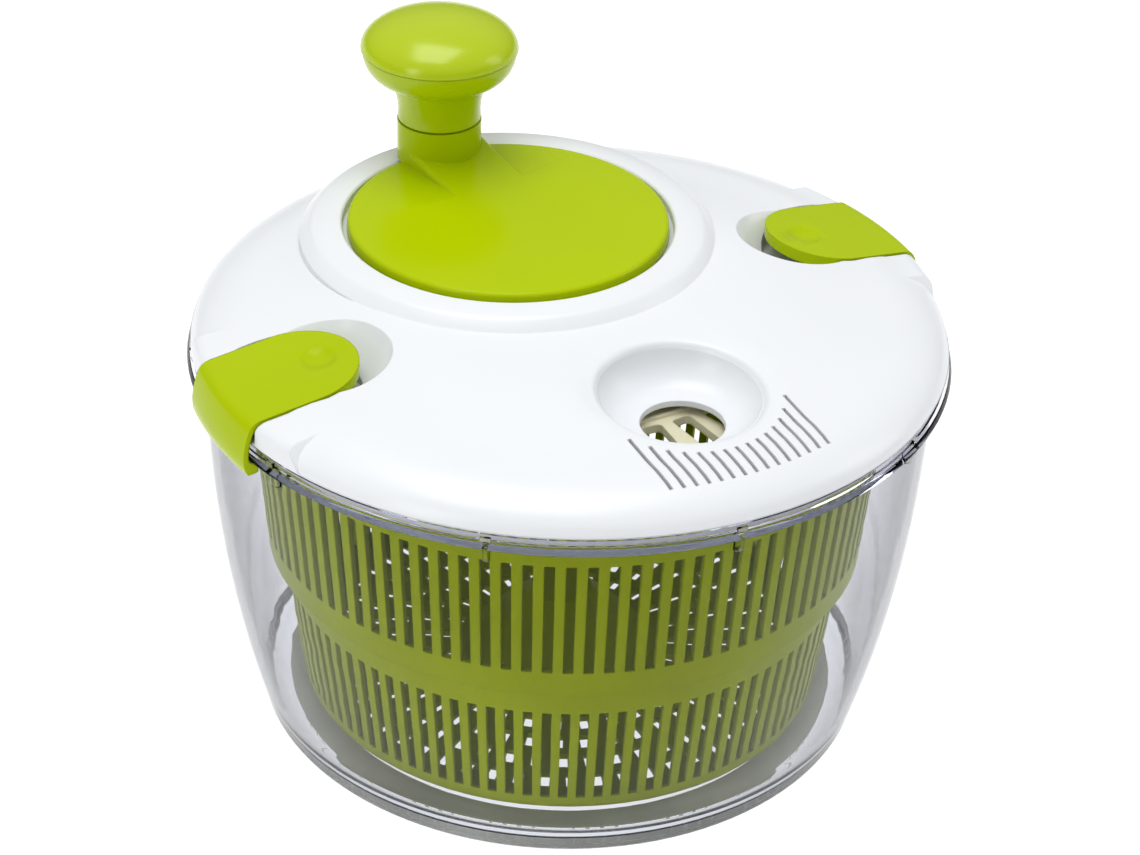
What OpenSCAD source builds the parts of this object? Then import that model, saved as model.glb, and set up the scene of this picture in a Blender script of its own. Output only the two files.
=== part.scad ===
// Salad spinner: clear bowl, spinning basket, geared lid with a crank and two side clips.
// Millimetres. Origin on the table under the centre of the bowl, +Z up.
// The clips lie on the X axis, the crank on +Y and the filling funnel on -Y.

/* [Bowl] */
// Outer radius of the bowl wall just under its rim
bowl_r = 115.8; // [110:0.1:118]
// How much the wall draws in between the rim and the foot
bowl_taper = 16; // [12:0.5:18]
// Thickness of the bowl wall
bowl_wall = 2.6; // [2:0.1:3]
// Height of the floor inside the bowl
bowl_floor = 5.2; // [4.8:0.1:6]
// Height of the rim that carries the lid
rim_z = 131.7; // [131.5:0.05:131.7]
// Outer radius of the collar below the rim
collar_r = 120.8; // [120:0.1:120.8]
// Number of stiffening ribs under the collar
rib_count = 10; // [5:1:15]

/* [Basket] */
// Outer radius of the basket at the top of its wall
basket_r = 102.4; // [101:0.1:103]
// Number of slits in each row
slit_count = 100; // [40:4:120]
// Share of the pitch that is open
slit_share = 0.5; // [0.3:0.05:0.6]
// Thickness of the basket wall
basket_wall = 2; // [1.6:0.1:2.4]

/* [Lid] */
// Outer radius of the lid at its lower edge
lid_r = 119.6; // [119:0.1:119.8]
// Height of the flat middle of the lid
lid_top = 146.8; // [146.5:0.1:147]
// Thickness of the lid shell
lid_wall = 2.2; // [1.8:0.1:2.4]
// Distance from the lid centre to the funnel centre
funnel_y = 66.4; // [64:0.1:67]
// Radius of the hole at the bottom of the funnel
funnel_hole_r = 12.9; // [11:0.1:13.5]
// Number of drain slots beside the funnel
vent_count = 15; // [7:2:17]

/* [Drive] */
// Gear module
gear_m = 1.5; // [1.5:0.5:1.5]
// Teeth on the crank gear
crank_teeth = 42; // [42:1:42]
// Teeth on the pinion
pinion_teeth = 14; // [14:1:14]
// Radius of the crank disc
disc_r = 51.8; // [50:0.1:52]
// Distance from the disc centre to the knob axis
crank_arm = 49.2; // [48:0.1:49.5]
// Radius of the knob cap
cap_r = 26.1; // [23:0.1:26.5]

/* [Clips] */
// Width of each clip
clip_w = 38.7; // [36:0.1:39]
// Distance from the lid centre to the tip of the tongue
clip_tip = 76; // [75:0.5:78]

/* [Hidden] */
$fn = 96;
gap = 0.3;                 // air between pieces that move apart
run = 0.05;                // radial clearance of a running fit
fit = 0.02;                // radial clearance of a pressed or screwed fit
far = 400;                 // reach of a cutting box

// bowl
bowl_base = 1.2;           // underside of the bowl, above the table
wall_top = 127.2;          // underside of the collar
wall_power = 2.27;         // how fast the wall curves in
ring_in = 83.5;
ring_out = 92;
ring_top = 4.2;
collar_top = 129.3;
rim_r = 118.6;
rib_from = -167;           // direction of the first rib
rib_w = 1.6;
post_top = 24;
post_r = 4;

// basket
basket_z = 8;
basket_top = 126.3;
step_z = 61;               // where the wall steps in
step_h = 2.5;
upper_slit = [70, 111];
lower_slit = [13.5, 50];
floor_t = 2.2;
cone_r = 30;
cone_tip_r = 9;
cone_h = 22;
floor_rings = 5;
rim_flange_r = 104.5;

// drive plate
plate_z = 126.6;
plate_t = 2.8;
plate_hub_r = 13;
plate_hub_z = 122;
window_count = 36;
window_in = 59;
window_out = 88;
window_w = 6.6;
hex_r = 5;
hex_floor = 124.4;
dog_count = 4;
dog_w = 8;
dog_in = 96.5;
dog_out = 99.9;

// lid
lid_bottom = rim_z + gap;
slope = 0.13;              // fall of the lid's outer zone
slope_from = 64;
clip_zone = 34;            // half width of the squared shoulder round each clip
clip_zone_z = 141;         // height where the shoulder has that width; it widens downwards
under = lid_top - lid_wall;
platform_top = 150.4;
platform_r = 63.5;
platform_base_r = 67.7;
recess_r = 53.9;
funnel_rim_r = 25.2;
funnel_floor = 134.2;      // upper face of the dish's flat floor
funnel_wall = 2;
hole_shift = 1.9;          // the hole lies this much nearer the lid's edge than the dish
hole_land = 0.4;           // least width of the flat floor round the hole
rim_soft = 2.2;            // rounding of the funnel's rim
shoulder_from = 103;       // where the hollow under the shoulder starts to curve down
round_r = 96;              // where the shoulder starts to curve down
round_z = 132.7;           // height where the shoulder meets the edge
square_r = 114.5;          // the same for the squarer shoulder beside the clips
square_z = 136.8;
skirt_top = 137.5;

// gears and crank
centre_d = gear_m * (crank_teeth + pinion_teeth) / 2;
gear_z = 137;
gear_t = 5.5;
axle_r = 9;
disc_z = 148;
disc_top = 152;
boss_r = 14.1;
boss_z = 151.6;
boss_top = 165.6;
grip_top = 190.6;
cap_h = 11.6;
cover_r = 38.5;
cover_z = 132;
cover_t = 2.2;
journal_r = 6;

// clips
pin_x = 113.5;
pin_z = 136.6;
pin_r = 1.4;
hub_r = 2.8;
pin_half = 23.5;
clip_corner_x = 118.65;
clip_corner_z = 140.1;
clip_wall = 2.2;
skirt_h = 4;

LIME = "#b8cf00";
WHITE = "#eceff3";
CREAM = "#d8d4ae";
STEEL = "silver";

// ---------- shared shapes ----------

// A ring with a rectangular section
module ring(r_in, r_out, z0, z1) {
    translate([0, 0, z0])
        difference() {
            cylinder(r = r_out, h = z1 - z0);
            translate([0, 0, -1]) cylinder(r = r_in, h = z1 - z0 + 2);
        }
}

// A disc between two heights
module disc(r, z0, z1) {
    translate([0, 0, z0]) cylinder(r = r, h = z1 - z0);
}

// Copies round the Z axis
module around(count, from = 0) {
    for (i = [0 : count - 1]) rotate(from + i * 360 / count) children();
}

// Points of an arc, from angle a0 to angle a1
function arc(c, r, a0, a1, steps = 6) =
    [for (i = [0 : steps]) c + r * [cos(a0 + (a1 - a0) * i / steps), sin(a0 + (a1 - a0) * i / steps)]];

// A pan-head screw standing on its point: head from z0 down, shank up
module screw(z0, shank_r, length, head_r, head_h) {
    disc(shank_r, z0 - head_h / 2, z0 + length);
    difference() {
        disc(head_r, z0 - head_h, z0);
        for (a = [0, 90])
            rotate(a) translate([-head_r * 0.6, -0.5, z0 - head_h - 1]) cube([head_r * 1.2, 1, 1 + head_h * 0.5]);
    }
}

// ---------- bowl ----------

// Outer radius of the bowl wall at height z
function bowl_out(z) = bowl_r - bowl_taper * pow(max(0, wall_top - z) / wall_top, wall_power);

module bowl_outline() {
    steps = 14;
    corner = 2.6;
    floor_corner = 9;
    heights = [for (i = [0 : steps]) bowl_base + corner + (wall_top - bowl_base - corner) * i / steps];
    inner_low = bowl_floor + floor_corner;
    inner = [for (i = [0 : steps]) wall_top - (wall_top - inner_low) * i / steps];
    polygon(concat(
        [[0, bowl_base]],
        arc([bowl_out(bowl_base + corner) - corner, bowl_base + corner], corner, -90, 0),
        [for (z = heights) [bowl_out(z), z]],
        [[collar_r - 0.3, wall_top], [collar_r, wall_top + 0.3], [collar_r - 0.5, collar_top - 0.4],
         [collar_r - 0.9, collar_top], [rim_r + 0.4, collar_top], [rim_r, collar_top + 0.4],
         [rim_r, rim_z - 0.4], [rim_r - 0.4, rim_z], [bowl_r - bowl_wall + 0.6, rim_z],
         [bowl_r - bowl_wall, rim_z - 0.6]],
        [for (z = inner) [bowl_out(z) - bowl_wall, z]],
        arc([bowl_out(inner_low) - bowl_wall - floor_corner, inner_low], floor_corner, 0, -90),
        [[8, bowl_floor], [post_r, bowl_floor + 11], [post_r, post_top - 1], [post_r - 1, post_top],
         [0, post_top]]));
}

// A thin fin under the collar and the small block above it
module rib() {
    fin_h = 6.8;
    reach = 4.2;
    rotate([90, 0, 0])
        translate([bowl_r - 1.2, wall_top + 0.3, -rib_w / 2])
            linear_extrude(rib_w)
                polygon([[0, 0], [reach + 1.2, 0], [reach + 1, -3], [reach, -fin_h + 1.4],
                    [reach - 1.4, -fin_h + 0.3], [0, -fin_h]]);
    translate([rim_r - 0.6, -rib_w, collar_top - 0.3]) cube([1.5, 2 * rib_w, 1.6]);
}

module bowl() {
    color("lavender", 0.3) {
        difference() {
            rotate_extrude() bowl_outline();
            ring(ring_in, ring_out, 0, ring_top);
        }
        around(rib_count, rib_from) rib();
    }
}

module foot_ring() {
    color("darkgray")
        rotate_extrude()
            polygon(concat(
                arc([ring_in + fit + 1, 1], 1, 180, 270, 4),
                arc([ring_out - fit - 1, 1], 1, 270, 360, 4),
                [[ring_out - fit, ring_top - fit], [ring_in + fit, ring_top - fit]]));
}

// ---------- basket ----------

module basket_outline() {
    t = basket_wall;
    low_r = basket_r - 9;
    foot_r = basket_r - 15;
    corner = 3;
    polygon(concat(
        [[cone_r, basket_z]],
        arc([foot_r - corner, basket_z + corner], corner, -90, 0),
        [[low_r, step_z - step_h], [low_r + 4.3, step_z], [basket_r, 120], [rim_flange_r, 121.5],
         [rim_flange_r, basket_top], [basket_r - 1, basket_top], [basket_r - t, 120],
         [low_r + 4.3 - t, step_z + 1], [low_r - t, step_z - step_h + 1]],
        arc([foot_r - corner, basket_z + corner], corner - t + 0.6, 0, -90),
        [[cone_r + 1, basket_z + floor_t], [cone_tip_r + 1, basket_z + cone_h + floor_t],
         [0, basket_z + cone_h + floor_t], [0, basket_z + cone_h], [post_r + gap, basket_z + cone_h],
         [post_r + gap, basket_z + 9], [post_r + gap + 1.8, basket_z + 9],
         [post_r + gap + 1.8, basket_z + cone_h - 2], [cone_tip_r - 1, basket_z + cone_h]]));
}

// One row of upright slits, width follows the radius of the wall there
module slit_row(span, wall_r) {
    w = 2 * PI * wall_r / slit_count * slit_share;
    around(slit_count)
        translate([wall_r - 9, -w / 2, span[0]]) cube([18, w, span[1] - span[0]]);
}

// Rings of small square-cornered holes in the floor
module floor_holes() {
    for (i = [0 : floor_rings - 1]) {
        r = 37 + i * 9.4;
        around(24 + 8 * i, i * 3)
            translate([r - 3, -1.6, basket_z - 1]) cube([6, 3.2, floor_t + 2]);
    }
}

module basket() {
    dog_a = (dog_w / 2 + 0.5) / dog_out * 180 / PI;
    color("yellowgreen", 0.85) {
        difference() {
            rotate_extrude() basket_outline();
            slit_row(upper_slit, basket_r - 3);
            slit_row(lower_slit, basket_r - 12);
            floor_holes();
        }
        around(dog_count)
            for (side = [-1, 1])
                rotate(side * (dog_a + 0.9))
                    translate([dog_in + 1, -0.8, 116]) cube([5, 1.6, 8]);
    }
}

// ---------- drive plate ----------

// A rectangle with round corners, from x0 to x1 and centred on the X axis
module slot_2d(x0, x1, w, corner) {
    translate([x0 + corner, -w / 2]) square([x1 - x0 - 2 * corner, w]);
    translate([x0, -w / 2 + corner]) square([x1 - x0, w - 2 * corner]);
    for (x = [x0 + corner, x1 - corner], y = [-1, 1])
        translate([x, y * (w / 2 - corner)]) circle(corner, $fn = 24);
}

module drive_plate() {
    z1 = plate_z + plate_t;
    color(CREAM) {
        difference() {
            union() {
                disc(106.5, plate_z, z1);
                disc(plate_hub_r, plate_hub_z, z1);
                ring(window_in - 4, window_in - 2.4, plate_z, z1 + 0.8);
            }
            around(window_count, 90 + 180 / window_count)
                translate([0, 0, plate_z - 1])
                    linear_extrude(plate_t + 2) slot_2d(window_in, window_out, window_w, 1.5);
            hex_hole(z1);
            disc(2, plate_hub_z - 1, hex_floor + 1);
        }
        ring(105, 106.5, 120.8, plate_z + 0.5);
        around(dog_count)
            intersection() {
                ring(dog_in, dog_out, 120.8, plate_z + 0.2);
                translate([0, -dog_w / 2, 100]) cube([120, dog_w, 40]);
            }
    }
}

// Six-sided socket in the hub of the drive plate, open at the top
module hex_hole(z1) {
    translate([0, 0, hex_floor]) cylinder(r = hex_r + run, h = z1 - hex_floor + 1, $fn = 6);
}

module drive_screw() {
    color(STEEL) translate([0, 0, -0.8]) screw(122, 1.9, 9.5, 4, 1.8);
}

module drive_washer() {
    color(STEEL) ring(2, 5.5, 121.2, 122);
}

// ---------- gears ----------

// Involute gear outline: radii from the module, thinner teeth by the backlash
function inv_point(rb, r) = let(c = min(1, rb / r)) tan(acos(c)) * 180 / PI - acos(c);
function tooth_edge(rb, rp, half, r) = half + inv_point(rb, rp) - inv_point(rb, max(r, rb));

module gear_2d(teeth, tip) {
    rp = gear_m * teeth / 2;
    rb = rp * cos(20);
    ro = rp + tip * gear_m;
    rr = rp - 1.25 * gear_m;
    half = 90 / teeth - 0.1 / rp * 180 / PI;
    radii = [for (i = [0 : 4]) max(rb, rr) + (ro - max(rb, rr)) * i / 4];
    flank = concat([rr], radii);
    polygon([for (k = [0 : teeth - 1])
        each concat(
            [for (r = flank) let(a = k * 360 / teeth - tooth_edge(rb, rp, half, r)) r * [cos(a), sin(a)]],
            [for (i = [len(flank) - 1 : -1 : 0])
                let(r = flank[i], a = k * 360 / teeth + tooth_edge(rb, rp, half, r)) r * [cos(a), sin(a)]])]);
}

module crank_gear() {
    color("whitesmoke")
        translate([0, centre_d, 0])
            difference() {
                union() {
                    translate([0, 0, gear_z]) rotate(-90) linear_extrude(gear_t) gear_2d(crank_teeth, 0.85);
                    disc(axle_r + 3, gear_z, 143.6);
                }
                translate([0, 0, gear_z + 1.6]) cylinder(r = axle_r - 2 + fit, h = 20, $fn = 6);
                disc(2, gear_z - 1, gear_z + 3);
                around(6, 30) translate([21, 0, gear_z - 1]) cylinder(r = 5, h = gear_t + 2);
            }
}

module pinion() {
    color("whitesmoke")
        difference() {
            union() {
                translate([0, 0, gear_z])
                    rotate(90 + 180 / pinion_teeth) linear_extrude(gear_t) gear_2d(pinion_teeth, 1);
                disc(4, gear_z, under + 1);
                disc(journal_r, 130.4, gear_z + 1);
                translate([0, 0, hex_floor + 0.2]) cylinder(r = hex_r, h = 131 - hex_floor, $fn = 6);
            }
            disc(1.92, hex_floor, 132);
        }
}

module pinion_bush() {
    color("white") ring(journal_r + run, journal_r + 2, 131.2, cover_z + cover_t + 1.6);
}

module crank_bush() {
    color("white") translate([0, centre_d, 0]) ring(axle_r + run, axle_r + 2, 144, lid_top + 0.2);
}

// ---------- crank and knob ----------

module crank_disc() {
    color(LIME)
        difference() {
            union() {
                translate([0, centre_d, 0]) {
                    difference() {
                        rotate_extrude()
                            polygon(concat([[0, disc_z]],
                                [[disc_r + 0.6, disc_z], [disc_r + 0.3, disc_top - 1.4]],
                                arc([disc_r - 1.1, disc_top - 1.4], 1.4, 0, 90, 5), [[0, disc_top]]));
                        ring(13, disc_r - 2.4, disc_z - 1, disc_top - 2.6);
                    }
                    disc(axle_r, 143.8, disc_z + 1);
                    translate([0, 0, gear_z + 1.8]) cylinder(r = axle_r - 2, h = 8, $fn = 6);
                }
                knob_place() disc(boss_r, boss_z, boss_top);
                ramp();
            }
            knob_place() disc(3.2 + fit, boss_z + 3, boss_top + 1);
            translate([0, centre_d, 0]) disc(1.92, gear_z, 146);
        }
}

// Puts its children on the knob axis
module knob_place() {
    translate([0, centre_d + crank_arm, 0]) children();
}

// Round-edged wedge that runs from the knob boss down to the disc, a little askew
RAMP = [[3, 158], [13, 155], [31, 151.9]];      // distance from the knob axis, height
ramp_skew = 9;
ramp_edge = 2;

module ramp_post(station) {
    low = disc_top - 2.5;
    for (side = [-1, 1])
        translate([side * (boss_r - ramp_edge), -station[0], low]) {
            cylinder(r = ramp_edge, h = max(0.1, station[1] - ramp_edge - low), $fn = 32);
            translate([0, 0, station[1] - ramp_edge - low]) sphere(ramp_edge, $fn = 32);
        }
}

module ramp() {
    knob_place()
        rotate(ramp_skew)
            for (i = [0 : len(RAMP) - 2])
                hull() {
                    ramp_post(RAMP[i]);
                    ramp_post(RAMP[i + 1]);
                }
}

module knob_spindle() {
    color(STEEL)
        knob_place() {
            disc(3.2, boss_z + 3.2, boss_top + 18);
            disc(5.5, boss_top + 18, boss_top + 19.6);
        }
}

module knob_grip() {
    z0 = boss_top + gap;
    neck = 180.5;
    neck_r = boss_r + 2.6;
    floor_z = boss_top + 17.6;
    seam = grip_top;
    color(LIME)
        knob_place()
            difference() {
                rotate_extrude()
                    polygon(concat(
                        [[0, z0], [boss_r - 0.6, z0], [boss_r - 0.2, z0 + 0.4], [boss_r - 0.35, 169.5],
                         [boss_r, 173], [boss_r + 0.8, 176.3], [boss_r + 1.7, 179]],
                        [for (i = [0 : 8]) let(a = i * 90 / 8)
                            [neck_r + (cap_r - 0.5 - neck_r) * sin(a), seam - (seam - neck) * cos(a)]],
                        [[cap_r - 2.6, seam], [cap_r - 3.6, seam - 1.6], [boss_r, floor_z], [0, floor_z]]));
                disc(3.2 + run, z0 - 1, boss_top + 18);
                disc(5.8, floor_z - 0.5, boss_top + 30);
            }
}

module knob_cap() {
    color(LIME)
        knob_place()
            rotate_extrude()
                polygon(concat(
                    [[cap_r - 2.4, grip_top + fit], [cap_r - 0.5, grip_top + fit]],
                    [for (i = [0 : 12]) let(a = i * 90 / 12)
                        [cap_r * cos(a), grip_top + 0.5 + cap_h * sin(a)]],
                    [for (i = [12 : -1 : 0]) let(a = i * 90 / 12)
                        [(cap_r - 2.4) * cos(a), grip_top + 0.5 + (cap_h - 2.2) * sin(a)]]));
}

// ---------- lid ----------

// Height of the lid's upper surface at radius r
function lid_z(r) = lid_top - slope * max(0, r - slope_from);

// Points up a shoulder: a quarter of an ellipse about (r, z), from the lid's edge to its upper surface
function shoulder(r, z) = [for (i = [0 : 7]) let(a = i * 90 / 7)
    [r + (lid_r - 0.2 - r) * cos(a), z + (lid_z(r) - z) * sin(a)]];

// Underneath, the shoulder is an arc that continues the lid's slope and ends at its lower edge
lean = atan(slope);
shoulder_top = [shoulder_from, lid_z(shoulder_from)];
shoulder_end = [lid_r, lid_bottom + 0.8];
shoulder_drop = shoulder_end - shoulder_top;
shoulder_r = shoulder_drop * shoulder_drop / (-2 * shoulder_drop * [sin(lean), cos(lean)]);
shoulder_c = shoulder_top - shoulder_r * [sin(lean), cos(lean)];

// Points up an arc of radius r about that arc's centre
function shoulder_arc(r) = arc(shoulder_c, r, asin((shoulder_end[1] - shoulder_c[1]) / r), 90 - lean, 8);

// Solid that fills the lid's outer form, with the given points up its shoulder
module lid_form(edge) {
    rotate_extrude()
        polygon(concat([[0, lid_bottom], [lid_r - 0.6, lid_bottom], [lid_r, lid_bottom + 0.6]], edge,
            [[slope_from + 4, lid_z(slope_from + 4)], [slope_from - 4, lid_top], [0, lid_top]]));
}

module lid_envelope() {
    lid_form(shoulder(round_r, round_z));
    intersection() {
        lid_form(shoulder(square_r, square_z));
        translate([-far / 2, 0, 0])
            rotate([90, 0, 90])
                linear_extrude(far)
                    polygon([for (s = [-1, 1], k = [0, 1])
                        let(top = (s < 0) == (k == 1))
                            [s * (clip_zone + (top ? -7 : 7)), clip_zone_z + (top ? 10 : -10)]]);
    }
}

// Space under the lid's shell
module lid_hollow() {
    inner = shoulder_arc(shoulder_r - lid_wall);
    rotate_extrude()
        polygon(concat([[0, lid_bottom - 5], [inner[0][0], lid_bottom - 5]], inner,
            [[slope_from, under], [0, under]]));
}

// Raised ring round the crank disc
module platform() {
    translate([0, centre_d, 0])
        rotate_extrude()
            polygon([[recess_r, under - 6.5], [recess_r, platform_top - 0.6], [recess_r + 0.6, platform_top],
                [platform_r - 0.6, platform_top], [platform_r + 0.8, platform_top - 0.8],
                [platform_base_r, lid_top - 0.6], [platform_base_r, under - 6.5]]);
}

// Outline of a clip's tongue seen from above, grown by g
module tongue_2d(g) {
    r = clip_w / 2 + g;
    translate([clip_tip - g + r, 0]) circle(r);
    translate([clip_tip - g + r, -r]) square([130 - clip_tip, 2 * r]);
}

pocket_floor = 1.2;
scoop_x = 86.5;
scoop_r = 24;
scoop_z = 157;

// Pocket of one clip: the walls are added first, then the space is cut
module clip_pocket_walls() {
    translate([0, 0, lid_bottom]) linear_extrude(20) tongue_2d(2.6);
    translate([94, -24.6, lid_bottom]) cube([26, 49.2, 20]);
    translate([scoop_x, 0, scoop_z]) sphere(scoop_r + 2);
}

module clip_pocket_space() {
    translate([0, 0, lid_bottom + pocket_floor]) linear_extrude(30) tongue_2d(0.7);
    translate([scoop_x, 0, scoop_z]) sphere(scoop_r);
    translate([pin_x, -pin_half - 0.4, pin_z]) rotate([-90, 0, 0]) cylinder(r = pin_r + fit, h = 2 * pin_half + 0.8);
}

module both_sides() {
    children();
    mirror([1, 0, 0]) children();
}

// Points up the dished inside of the funnel, grown by g
function funnel_curve(g) = [for (i = [0 : 8]) let(a = i * 90 / 8, floor_r = funnel_hole_r + hole_shift + hole_land)
    [floor_r + g + (funnel_rim_r - floor_r) * sin(a),
     funnel_floor - g + (lid_top + 0.6 - funnel_floor) * (1 - cos(a))]];

module funnel_solid() {
    translate([0, -funnel_y, 0])
        rotate_extrude()
            polygon(concat([[0, funnel_floor - funnel_wall]], funnel_curve(funnel_wall),
                [[funnel_rim_r + funnel_wall, lid_top + 2], [0, lid_top + 2]]));
}

module funnel_space() {
    translate([0, -funnel_y, 0]) {
        rotate_extrude()
            polygon(concat([[0, funnel_floor]], funnel_curve(0), [[funnel_rim_r, lid_top + 9], [0, lid_top + 9]]));
        funnel_rim();
    }
    translate([0, -funnel_y - hole_shift, 0])
        disc(funnel_hole_r, funnel_floor - funnel_wall - 1, funnel_floor + 1);
}

// Cutter that rounds the rim; it leans with the lid's slope and flares out gently
module funnel_rim() {
    reach = funnel_rim_r + rim_soft;
    near_z = lid_z(funnel_y + reach);
    foot = [funnel_rim_r - 0.2, -rim_soft + 0.25];
    translate([0, 0, (lid_top + near_z) / 2])
        rotate([asin((lid_top - near_z) / (2 * reach)), 0, 0])
            rotate_extrude()
                polygon(concat([[0, foot[1]], foot], arc([reach, -rim_soft], rim_soft, 150, 90, 4),
                    [[reach + 6, 1.3], [reach + 6, 8], [0, 8]]));
}

// Straight drain slots, from an arc round the funnel to a ring near the lid's edge
module vents() {
    pitch = 3.835;
    w = 1.1;
    inner = 30.8;
    outer = 109.1;
    half = (vent_count - 1) / 2;
    for (i = [-half : half]) {
        x = i * pitch;
        y_in = funnel_y + sqrt(inner * inner - x * x);
        y_out = sqrt(outer * outer - x * x);
        translate([x - w / 2, -y_out, under - 10]) cube([w, y_out - y_in, 20]);
    }
}

// Places of the screws that hold the gear cover
COVER_SCREWS = [for (a = [10, 90, 170]) [42.5 * cos(a), centre_d + 42.5 * sin(a)]];
NECK_SCREWS = [for (s = [-1, 1]) [s * 21.5, -6]];
SCREWS = concat(COVER_SCREWS, NECK_SCREWS);

module at_screws() {
    for (p = SCREWS) translate([p[0], p[1], 0]) children();
}

module lid() {
    color(WHITE)
        difference() {
            union() {
                difference() {
                    union() {
                        lid_envelope();
                        platform();
                    }
                    difference() {
                        lid_hollow();
                        both_sides() clip_pocket_walls();
                        funnel_solid();
                    }
                    translate([0, centre_d, 0]) {
                        disc(platform_base_r - 3, under, platform_top - lid_wall);
                        disc(cover_r + 2.5, lid_bottom, under + 1);
                    }
                }
                translate([0, centre_d, 0]) {
                    disc(recess_r + 0.5, under, lid_top + 0.4);
                    ring(recess_r, recess_r + 2, under, platform_top - 1);
                }
                ring(110.4, 112.4, 127.3, skirt_top);
                disc(6.5, 143, under + 1);
                translate([0, centre_d, 0]) disc(axle_r + 4, 144, under + 1);
                at_screws() disc(3.8, cover_z + cover_t, under + 0.5);
            }
            translate([0, centre_d, 0]) {
                disc(axle_r + 2 + fit, 130, lid_top + 1);
                disc(recess_r, lid_top + 0.4, platform_top + 5);
            }
            disc(4 + run, 120, under + 1.3);
            at_screws() disc(1.45, 130, under + 0.8);
            funnel_space();
            vents();
            both_sides() clip_pocket_space();
        }
}

// ---------- gear cover ----------

module cover_2d(g) {
    big = cover_r + g;
    small = 18 + g;
    lean = asin((big - small) / centre_d);
    translate([0, centre_d]) circle(big);
    circle(small);
    polygon([for (s = [1, -1], k = [0, 1])
        let(r = (s > 0) == (k == 0) ? small : big, y = (s > 0) == (k == 0) ? 0 : centre_d)
            [s * r * cos(lean), y - r * sin(lean)]]);
}

module gear_cover() {
    color(CREAM)
        difference() {
            union() {
                translate([0, 0, cover_z]) linear_extrude(cover_t) cover_2d(0);
                at_screws() disc(5.4, cover_z, cover_z + cover_t);
                translate([0, 0, cover_z]) linear_extrude(under - cover_z - fit)
                    difference() {
                        cover_2d(0);
                        cover_2d(-1.8);
                    }
                disc(journal_r + 4, cover_z, cover_z + cover_t + 1.4);
            }
            disc(journal_r + 2 + fit, 120, 140);
            at_screws() disc(3.8 + 0.1, cover_z + cover_t, 160);
            at_screws() disc(1.7, 120, 140);
        }
}

module cover_screws() {
    color(STEEL) at_screws() screw(cover_z, 1.4, 10, 3, 1.4);
}

module crank_washer() {
    color(STEEL) translate([0, centre_d, 0]) ring(2, 6, gear_z - 0.8, gear_z);
}

module crank_screw() {
    color(STEEL) translate([0, centre_d, 0]) screw(gear_z - 0.8, 1.9, 8.6, 4, 1.6);
}

// ---------- clips ----------

// Height of a clip's top at distance r from the lid centre
function clip_z(r) = clip_corner_z + slope * (clip_corner_x - r);

// Section of a clip: sloping top, upright face, and the hook that catches under the collar
module clip_outline() {
    r0 = 60;
    polygon([[r0, clip_z(r0)], [115.5, clip_z(115.5)], [117.2, 140.25], [118.3, 139.9], [119.2, 139.3],
        [119.9, 138.5], [120.5, 137.5], [121.1, 136], [121.7, 134], [122.2, 131.8], [122.6, 129.4],
        [122.7, 127.6], [122.6, 125.8], [122.2, 123.9], [121.7, 122.8], [121.2, 122.4],
        [118.6, 122.8], [118.2, 123.3], [118.2, 125.2], [118.5, 125.5], [119.6, 126.1], [120.6, 126.7],
        [121.1, 127.2], [121.1, 129.4],
        [120.8, 131.6], [120.3, 134], [119.5, 136.2], [118.5, 137.5], [115.2, clip_z(115.2) - clip_wall],
        [r0, clip_z(r0) - clip_wall]]);
}

// Section of the band that the skirt under the tongue is cut from
module skirt_outline() {
    polygon([[60, clip_z(60) - 1], [116, clip_z(116) - 1], [116, clip_z(116) - skirt_h],
        [60, clip_z(60) - skirt_h]]);
}

// Right-hand clip
module clip_body() {
    dimple_x = clip_tip + 13;
    dimple_r = 12.6;
    dimple_depth = 1.3;
    hub_w = clip_w - 0.4;
    color(LIME)
        difference() {
            union() {
                intersection() {
                    rotate_extrude() clip_outline();
                    translate([0, 0, 100]) linear_extrude(60) tongue_2d(0);
                }
                intersection() {
                    rotate_extrude() skirt_outline();
                    translate([0, 0, 100])
                        linear_extrude(60)
                            difference() {
                                tongue_2d(0);
                                tongue_2d(-clip_wall);
                            }
                }
                translate([pin_x, -hub_w / 2, pin_z]) rotate([-90, 0, 0]) cylinder(r = hub_r, h = hub_w);
            }
            translate([pin_x, -40, pin_z]) rotate([-90, 0, 0]) cylinder(r = pin_r + run, h = 80);
            translate([dimple_x, 0, clip_z(dimple_x) + dimple_r - dimple_depth]) sphere(dimple_r);
        }
}

module clip_pin() {
    color(STEEL)
        translate([pin_x, -pin_half, pin_z]) rotate([-90, 0, 0]) cylinder(r = pin_r, h = 2 * pin_half);
}

module right_clip() { clip_body(); }
module left_clip() { mirror([1, 0, 0]) clip_body(); }
module right_clip_pin() { clip_pin(); }
module left_clip_pin() { mirror([1, 0, 0]) clip_pin(); }

bowl();
foot_ring();
basket();
lid();
gear_cover();
cover_screws();
crank_bush();
crank_disc();
crank_gear();
crank_washer();
crank_screw();
knob_spindle();
knob_grip();
knob_cap();
pinion();
pinion_bush();
drive_plate();
drive_washer();
drive_screw();
left_clip();
right_clip();
left_clip_pin();
right_clip_pin();
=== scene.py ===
"""Salad spinner: clear bowl, green basket, white geared lid with a lime crank and two lime clips."""
import math

import bpy
from mathutils import Matrix, Vector

# ---------- named values ----------

CAMERA_AZIMUTH = -30.33
CAMERA_ELEVATION = 32.55
CAMERA_DISTANCE = 0.9107
CAMERA_TARGET = Vector((0, 0, 0.09))
CAMERA_ROLL = 1.87
CAMERA_LENS = 88.47
CAMERA_SHIFT = (0.00286, 0.00945)

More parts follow.
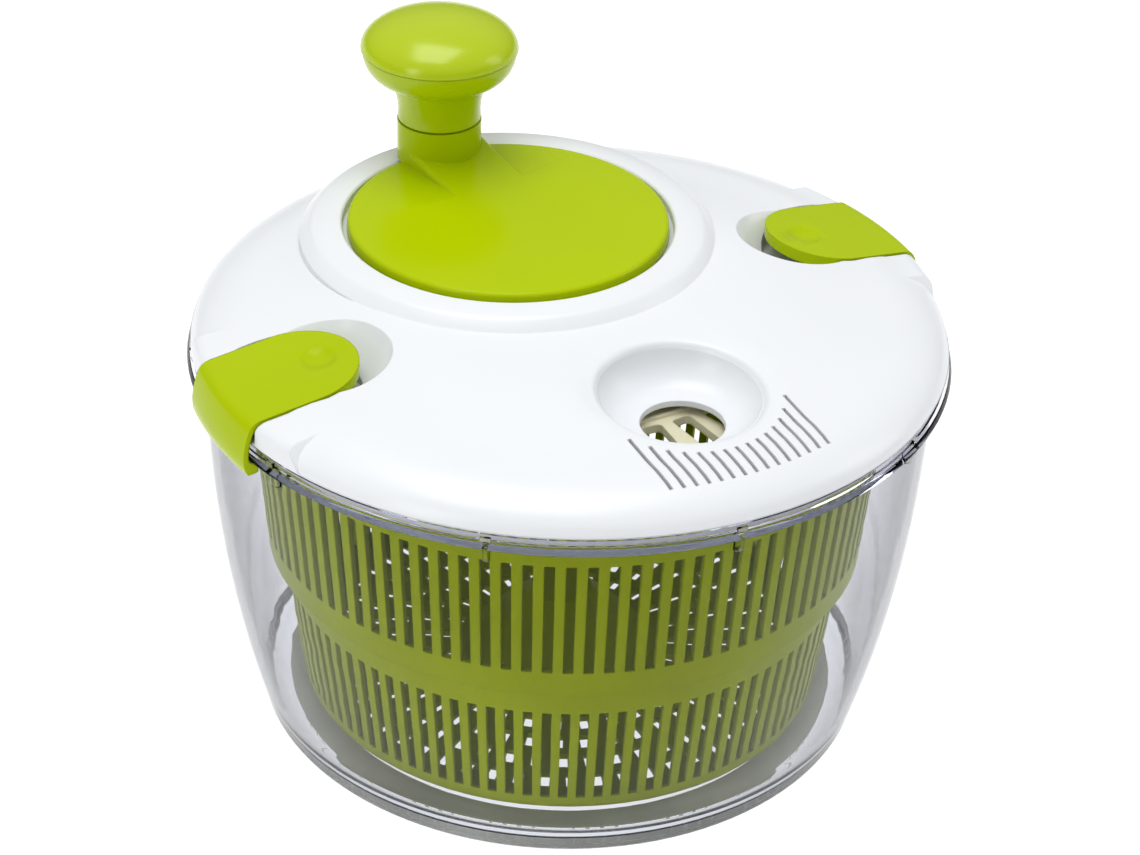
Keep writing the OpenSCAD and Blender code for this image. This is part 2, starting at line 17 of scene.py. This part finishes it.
LIME = (0.44, 0.555, 0.0)
LIME_DEEP = (0.42, 0.53, 0.0)
LIME_CLIP = (0.43, 0.545, 0.0)
LID_WHITE = (0.80, 0.82, 0.845)
BASKET_GREEN = (0.33, 0.39, 0.0)
BASKET_DEEP = (0.285, 0.335, 0.0)
CREAM = (0.72, 0.69, 0.50)
CLEAR = (1.0, 1.0, 1.0)
CLEAR_EDGE = (0.03, 0.032, 0.05)
CLEAR_SHINE = (0.12, 0.12, 0.15)
CLEAR_DEPTH = (0.50, 0.53, 0.70)
RUBBER = (0.82, 0.81, 0.64)
NATURAL_WHITE = (0.78, 0.77, 0.71)
STEEL = (0.62, 0.62, 0.64)

PLASTIC_IOR = 1.5
CLEAR_IOR = 1.45
GRAIN_SCALE = 900.0
GRAIN_DEPTH = 0.00002
SOFT_EDGE = 0.0007
WELD_GAP = 0.00001
SHARP_ANGLE = math.radians(32)

FLOOR_HALF = 6.0
FLOOR_GLOW = 0.8
SKY_STRENGTH = 0.8


# ---------- node helpers ----------

def new_material(name):
    """An empty node material with a Principled shader on its output."""
    material = bpy.data.materials.new(name)
    material.use_nodes = True
    tree = material.node_tree
    tree.nodes.clear()
    output = tree.nodes.new("ShaderNodeOutputMaterial")
    shader = tree.nodes.new("ShaderNodeBsdfPrincipled")
    tree.links.new(shader.outputs["BSDF"], output.inputs["Surface"])
    return material, tree, shader, output


def coordinates(tree):
    """Object coordinates in metres."""
    return tree.nodes.new("ShaderNodeTexCoord").outputs["Object"]


def noise(tree, scale, detail=3.0, roughness=0.5, vector=None):
    """A noise texture; scale is in cells per metre."""
    node = tree.nodes.new("ShaderNodeTexNoise")
    node.inputs["Scale"].default_value = scale
    node.inputs["Detail"].default_value = detail
    node.inputs["Roughness"].default_value = roughness
    tree.links.new(vector or coordinates(tree), node.inputs["Vector"])
    return node.outputs["Fac"]


def ramp(tree, value, low, high, low_at=0.35, high_at=0.65):
    """Maps a grey value to a range between two numbers or two colours."""
    node = tree.nodes.new("ShaderNodeValToRGB")
    ends = [c if isinstance(c, tuple) else (c, c, c) for c in (low, high)]
    for element, at, colour in zip(node.color_ramp.elements, (low_at, high_at), ends):
        element.position = at
        element.color = (*colour, 1)
    tree.links.new(value, node.inputs["Fac"])
    return node.outputs["Color"]


def bump(tree, height, distance, strength=1.0, normal=None):
    """A bump node; distance is in metres."""
    node = tree.nodes.new("ShaderNodeBump")
    node.inputs["Distance"].default_value = distance
    node.inputs["Strength"].default_value = strength
    tree.links.new(height, node.inputs["Height"])
    if normal is not None:
        tree.links.new(normal, node.inputs["Normal"])
    return node.outputs["Normal"]


def moulded(name, colour, deep, roughness, shine=0.5, subsurface=0.0):
    """Moulded plastic: faint flow marks in the colour, softened edges, fine grain and uneven gloss."""
    material, tree, shader, _ = new_material(name)
    flow = noise(tree, 14.0, 2.0)
    tree.links.new(ramp(tree, flow, deep, colour, 0.25, 0.6), shader.inputs["Base Color"])
    wear = noise(tree, 30.0, 1.0)
    tree.links.new(ramp(tree, wear, roughness * 0.92, roughness * 1.08), shader.inputs["Roughness"])
    fine = noise(tree, GRAIN_SCALE, 2.0)
    soft = tree.nodes.new("ShaderNodeBevel")
    soft.samples = 4
    soft.inputs["Radius"].default_value = SOFT_EDGE
    normal = bump(tree, fine, GRAIN_DEPTH, 0.4, soft.outputs["Normal"])
    tree.links.new(normal, shader.inputs["Normal"])
    shader.inputs["IOR"].default_value = PLASTIC_IOR
    shader.inputs["Specular IOR Level"].default_value = shine
    if subsurface:
        shader.inputs["Subsurface Weight"].default_value = subsurface
        shader.inputs["Subsurface Radius"].default_value = (0.4, 0.5, 0.1)
        shader.inputs["Subsurface Scale"].default_value = 0.003
    return material


def clear_plastic(name):
    """Clear plastic that darkens towards its outline and lets lamp light through to the inside."""
    material, tree, shader, output = new_material(name)
    facing = tree.nodes.new("ShaderNodeLayerWeight")
    shade = ramp(tree, facing.outputs["Facing"], CLEAR, CLEAR_EDGE, 0.4, 0.9)
    tree.links.new(shade, shader.inputs["Base Color"])
    shader.inputs["Transmission Weight"].default_value = 1.0
    shader.inputs["IOR"].default_value = CLEAR_IOR
    shader.inputs["Specular Tint"].default_value = (*CLEAR_SHINE, 1)
    smudge = noise(tree, 25.0, 4.0, 0.6)
    tree.links.new(ramp(tree, smudge, 0.0, 0.03, 0.45, 0.85), shader.inputs["Roughness"])
    wavy = noise(tree, 12.0, 1.0)
    tree.links.new(bump(tree, wavy, 0.0001, 0.2), shader.inputs["Normal"])
    straight = tree.nodes.new("ShaderNodeBsdfTransparent")
    straight.inputs["Color"].default_value = (0.93, 0.94, 0.95, 1)
    path = tree.nodes.new("ShaderNodeLightPath")
    mix = tree.nodes.new("ShaderNodeMixShader")
    tree.links.new(path.outputs["Is Shadow Ray"], mix.inputs["Fac"])
    tree.links.new(shader.outputs["BSDF"], mix.inputs[1])
    tree.links.new(straight.outputs["BSDF"], mix.inputs[2])
    tree.links.new(mix.outputs["Shader"], output.inputs["Surface"])
    absorb = tree.nodes.new("ShaderNodeVolumeAbsorption")
    absorb.inputs["Color"].default_value = (*CLEAR_DEPTH, 1)
    absorb.inputs["Density"].default_value = 55.0
    tree.links.new(absorb.outputs["Volume"], output.inputs["Volume"])
    return material


def soft_grip(name):
    """Matt grey elastomer with a fine eroded grain."""
    material, tree, shader, _ = new_material(name)
    patches = noise(tree, 40.0, 3.0)
    shade = tuple(c * 0.85 for c in RUBBER)
    tree.links.new(ramp(tree, patches, shade, RUBBER), shader.inputs["Base Color"])
    tree.links.new(bump(tree, noise(tree, 1800.0, 3.0), 0.00006, 0.7), shader.inputs["Normal"])
    shader.inputs["Roughness"].default_value = 0.62
    return material


def turned_steel(name):
    """Bright steel with fine marks left by turning."""
    material, tree, shader, _ = new_material(name)
    shader.inputs["Metallic"].default_value = 1.0
    shader.inputs["Base Color"].default_value = (*STEEL, 1)
    stretch = tree.nodes.new("ShaderNodeMapping")
    stretch.inputs["Scale"].default_value = (1, 1, 14)
    tree.links.new(coordinates(tree), stretch.inputs["Vector"])
    marks = noise(tree, 900.0, 3.0, 0.6, stretch.outputs["Vector"])
    tree.links.new(ramp(tree, marks, 0.2, 0.36), shader.inputs["Roughness"])
    tree.links.new(bump(tree, marks, 0.00002, 0.5), shader.inputs["Normal"])
    return material


# ---------- materials and edges of the nodes ----------

def dress(nodes):
    """Gives every CAD node its material; nodes that are not named here are steel."""
    lime = moulded("lime_gloss", LIME, LIME_DEEP, 0.2, shine=0.15)
    knob = moulded("lime_knob", LIME, LIME_DEEP, 0.22, shine=0.6)
    clip = moulded("lime_clip", LIME_CLIP, tuple(c * 0.94 for c in LIME_CLIP), 0.22, shine=0.15)
    white = moulded("lid_white", LID_WHITE, tuple(c * 0.985 for c in LID_WHITE), 0.3)
    green = moulded("basket_green", BASKET_GREEN, BASKET_DEEP, 0.36, shine=0.1, subsurface=0.15)
    cream = moulded("cream_plastic", CREAM, tuple(c * 0.94 for c in CREAM), 0.42)
    natural = moulded("bush_white", NATURAL_WHITE, tuple(c * 0.95 for c in NATURAL_WHITE), 0.4)
    steel = turned_steel("steel")
    by_node = {
        "bowl": clear_plastic("clear_bowl"),
        "foot_ring": soft_grip("grip_rubber"),
        "basket": green,
        "lid": white,
        "gear_cover": cream,
        "drive_plate": cream,
        "pinion": natural,
        "crank_gear": natural,
        "crank_bush": natural,
        "pinion_bush": natural,
        "crank_disc": lime,
    }
    for node in ("knob_grip", "knob_cap"):
        by_node[node] = knob
    for node in ("left_clip", "right_clip"):
        by_node[node] = clip
    for name, piece in nodes.items():
        piece.data.materials.clear()
        piece.data.materials.append(by_node.get(name, steel))


def smooth_faces():
    """A node group that joins the faces of a mesh and shades them smooth, except over sharp edges."""
    group = bpy.data.node_groups.new("smooth_faces", "GeometryNodeTree")
    group.interface.new_socket("Geometry", in_out="INPUT", socket_type="NodeSocketGeometry")
    group.interface.new_socket("Geometry", in_out="OUTPUT", socket_type="NodeSocketGeometry")
    start = group.nodes.new("NodeGroupInput")
    end = group.nodes.new("NodeGroupOutput")
    plain = group.nodes.new("GeometryNodeRemoveAttribute")
    plain.inputs["Name"].default_value = "custom_normal"
    weld = group.nodes.new("GeometryNodeMergeByDistance")
    weld.inputs["Distance"].default_value = WELD_GAP
    faces = group.nodes.new("GeometryNodeSetShadeSmooth")
    edges = group.nodes.new("GeometryNodeSetShadeSmooth")
    edges.domain = "EDGE"
    angle = group.nodes.new("GeometryNodeInputMeshEdgeAngle")
    flat = group.nodes.new("FunctionNodeCompare")
    flat.operation = "LESS_EQUAL"
    flat.inputs["B"].default_value = SHARP_ANGLE
    group.links.new(angle.outputs["Unsigned Angle"], flat.inputs["A"])
    group.links.new(flat.outputs["Result"], edges.inputs["Shade Smooth"])
    chain = [start, plain, weld, faces, edges, end]
    for one, other in zip(chain, chain[1:]):
        group.links.new(one.outputs[0], other.inputs[0])
    return group


def soften(nodes):
    """Shades the turned and moulded pieces smooth; their meshes stay as they are."""
    group = smooth_faces()
    for piece in nodes.values():
        piece.modifiers.new("smooth_faces", "NODES").node_group = group


# ---------- camera, floor and light ----------

def make_camera():
    """Camera at the product-shot angle, rolled slightly."""
    azimuth = math.radians(CAMERA_AZIMUTH)
    elevation = math.radians(CAMERA_ELEVATION)
    back = Vector((math.sin(azimuth) * math.cos(elevation), -math.cos(azimuth) * math.cos(elevation),
                   math.sin(elevation)))
    right = Vector((math.cos(azimuth), math.sin(azimuth), 0))
    up = back.cross(right)
    roll = math.radians(CAMERA_ROLL)
    rolled_right = math.cos(roll) * right + math.sin(roll) * up
    rolled_up = back.cross(rolled_right)
    camera = bpy.data.objects.new("camera", bpy.data.cameras.new("camera"))
    turn = Matrix((rolled_right, rolled_up, back)).transposed().to_4x4()
    camera.matrix_world = Matrix.Translation(CAMERA_TARGET + CAMERA_DISTANCE * back) @ turn
    camera.data.sensor_width = 36
    camera.data.lens = CAMERA_LENS
    camera.data.shift_x, camera.data.shift_y = CAMERA_SHIFT
    bpy.context.scene.collection.objects.link(camera)
    bpy.context.scene.camera = camera


def make_floor():
    """A wide white sweep under the object, a little lit from below like a light table."""
    half = FLOOR_HALF
    mesh = bpy.data.meshes.new("floor")
    corners = [(-half, -half, 0), (half, -half, 0), (half, half, 0), (-half, half, 0)]
    mesh.from_pydata(corners, [], [(0, 1, 2, 3)])
    floor = bpy.data.objects.new("floor", mesh)
    material, tree, shader, _ = new_material("floor_paper")
    mottle = noise(tree, 3.0, 2.0)
    tree.links.new(ramp(tree, mottle, 0.24, 0.26), shader.inputs["Base Color"])
    shader.inputs["Roughness"].default_value = 0.8
    shader.inputs["Specular IOR Level"].default_value = 0.1
    shader.inputs["Emission Color"].default_value = (1, 1, 1, 1)
    shader.inputs["Emission Strength"].default_value = FLOOR_GLOW
    mesh.materials.append(material)
    bpy.context.scene.collection.objects.link(floor)


def area_light(name, place, aim, size, power, colour=(1, 1, 1)):
    """A soft rectangular lamp at a point, turned towards another point."""
    lamp = bpy.data.lights.new(name, "AREA")
    lamp.shape = "RECTANGLE"
    lamp.size, lamp.size_y = size
    lamp.energy = power
    lamp.color = colour
    holder = bpy.data.objects.new(name, lamp)
    holder.location = place
    holder.rotation_euler = (Vector(aim) - Vector(place)).to_track_quat("-Z", "Y").to_euler()
    bpy.context.scene.collection.objects.link(holder)


def make_light():
    """Soft box above, weaker boxes at the sides, and a surround that darkens towards the horizon."""
    area_light("key_box", (-0.1, 0.1, 1.3), (0, 0, 0.12), (0.85, 0.7), 5.2)
    area_light("right_box", (1.2, -0.5, 0.7), (0, 0, 0.1), (0.5, 0.9), 2.0)
    area_light("left_box", (-1.3, -0.5, 0.6), (0, 0, 0.1), (0.4, 0.8), 2.6)
    world = bpy.data.worlds.new("studio")
    world.use_nodes = True
    tree = world.node_tree
    tree.nodes.clear()
    output = tree.nodes.new("ShaderNodeOutputWorld")
    sky = tree.nodes.new("ShaderNodeBackground")
    split = tree.nodes.new("ShaderNodeSeparateXYZ")
    tree.links.new(tree.nodes.new("ShaderNodeTexCoord").outputs["Generated"], split.inputs["Vector"])
    shade = ramp(tree, split.outputs["Z"], 0.16, 0.80, 0.02, 0.6)
    tree.links.new(shade, sky.inputs["Color"])
    sky.inputs["Strength"].default_value = SKY_STRENGTH
    tree.links.new(sky.outputs["Background"], output.inputs["Surface"])
    bpy.context.scene.world = world
    bpy.context.scene.view_settings.view_transform = "Standard"
    bpy.context.scene.view_settings.look = "Medium High Contrast"


# ---------- the scene ----------

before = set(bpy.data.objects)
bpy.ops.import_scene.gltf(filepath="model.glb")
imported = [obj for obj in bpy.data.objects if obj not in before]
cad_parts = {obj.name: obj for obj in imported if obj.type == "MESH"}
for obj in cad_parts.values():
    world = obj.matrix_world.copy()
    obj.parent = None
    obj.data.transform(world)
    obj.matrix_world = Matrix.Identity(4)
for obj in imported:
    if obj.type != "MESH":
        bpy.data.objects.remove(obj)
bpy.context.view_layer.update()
dress(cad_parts)
soften(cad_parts)
make_camera()
make_floor()
make_light()
